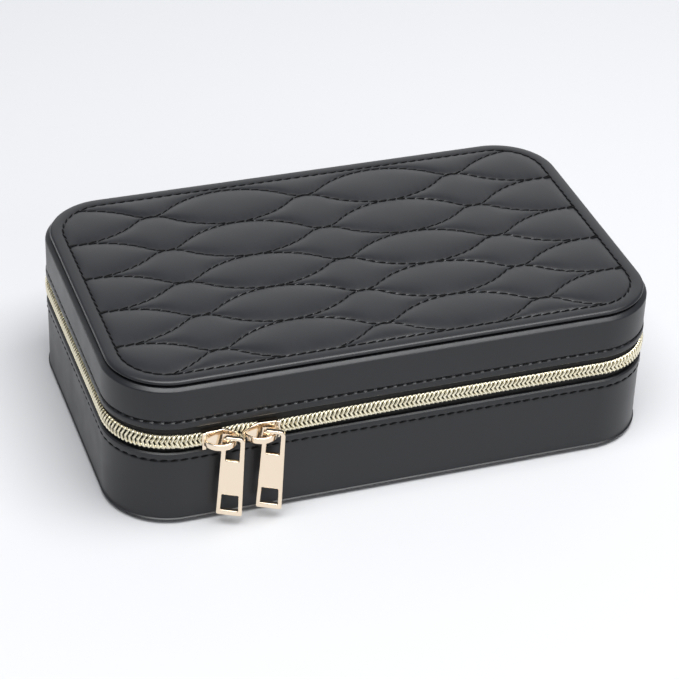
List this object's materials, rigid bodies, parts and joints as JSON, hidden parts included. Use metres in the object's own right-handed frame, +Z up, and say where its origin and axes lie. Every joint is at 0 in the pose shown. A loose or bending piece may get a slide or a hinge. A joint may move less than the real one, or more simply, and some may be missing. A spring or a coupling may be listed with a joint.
{
  "type": "jewellery case",
  "caption": "Zip-round rectangular leather jewellery case with a quilted padded lid on a soft back hinge, zip sliders with hanging pull tabs, and ring rolls and compartments inside.",
  "frame": {"origin": "middle of the underside, on the surface that the case stands on", "axes": "+X to the right along the front, +Y from the front with the sliders to the hinge at the back, +Z up"},
  "size_m": [0.2206, 0.1468, 0.0656],
  "materials": {
    "black_leather": "smooth satin black coated leather",
    "underside_leather": "fine grained black coated leather",
    "hinge_leather": "soft matt black coated leather",
    "grey_board": "pressed grey board",
    "zip_tape": "woven black polyester",
    "zip_coil": "pale gold metallised coil",
    "slider_gold": "polished pale rose gold plating",
    "greige_velvet": "short pile velvet",
    "ring_roll_velvet": "short pile velvet over foam",
    "pocket_elastic": "covered elastic cord"
  },
  "bodies": {
    "base": {"base_bottom_panel": "underside_leather", "base_shell": "grey_board", "base_side_leather": "black_leather", "base_liner": "greige_velvet", "lower_zip_tape": "zip_tape", "lower_zip_teeth": "zip_coil", "hinge_strip_lower": "hinge_leather", "ring_pad": "greige_velvet", "ring_rolls": "ring_roll_velvet", "ring_section_wall": "greige_velvet", "long_divider": "greige_velvet", "front_left_divider": "greige_velvet", "front_right_divider": "greige_velvet", "back_divider": "greige_velvet"},
    "lid": {"lid_shell": "grey_board", "lid_side_leather": "black_leather", "quilted_top_panel": "black_leather", "lid_lining": "greige_velvet", "upper_zip_tape": "zip_tape", "upper_zip_teeth": "zip_coil", "hinge_strip_upper": "hinge_leather", "lid_pocket": "greige_velvet", "pocket_elastic": "pocket_elastic", "necklace_straps": "greige_velvet", "snap_studs": "slider_gold"},
    "left_slider": {"left_slider_body": "slider_gold", "left_slider_bail": "slider_gold"},
    "right_slider": {"right_slider_body": "slider_gold", "right_slider_bail": "slider_gold"},
    "left_pull": {"left_pull_tab": "slider_gold"},
    "right_pull": {"right_pull_tab": "slider_gold"}
  },
  "joints": [
    {"name": "lid_hinge", "type": "hinge", "parent": "base", "child": "lid", "pos_m": [0, 0.0674, 0.0379], "axis": [-1, 0, 0], "range_deg": [0, 110]},
    {"name": "left_slider_slide", "type": "slide", "parent": "base", "child": "left_slider", "axis": [-1, 0, 0], "range_m": [0, 0.0055], "deforming": ["lower_zip_teeth", "upper_zip_teeth"]},
    {"name": "right_slider_slide", "type": "slide", "parent": "base", "child": "right_slider", "axis": [1, 0, 0], "range_m": [0, 0.13]},
    {"name": "left_pull_swing", "type": "hinge", "parent": "left_slider", "child": "left_pull", "pos_m": [-0.06745, -0.07525, 0.0376], "axis": [0, -1, 0], "range_deg": [-28, 3]},
    {"name": "right_pull_swing", "type": "hinge", "parent": "right_slider", "child": "right_pull", "pos_m": [-0.05175, -0.07525, 0.0376], "axis": [0, -1, 0], "range_deg": [-3, 28]}
  ]
}
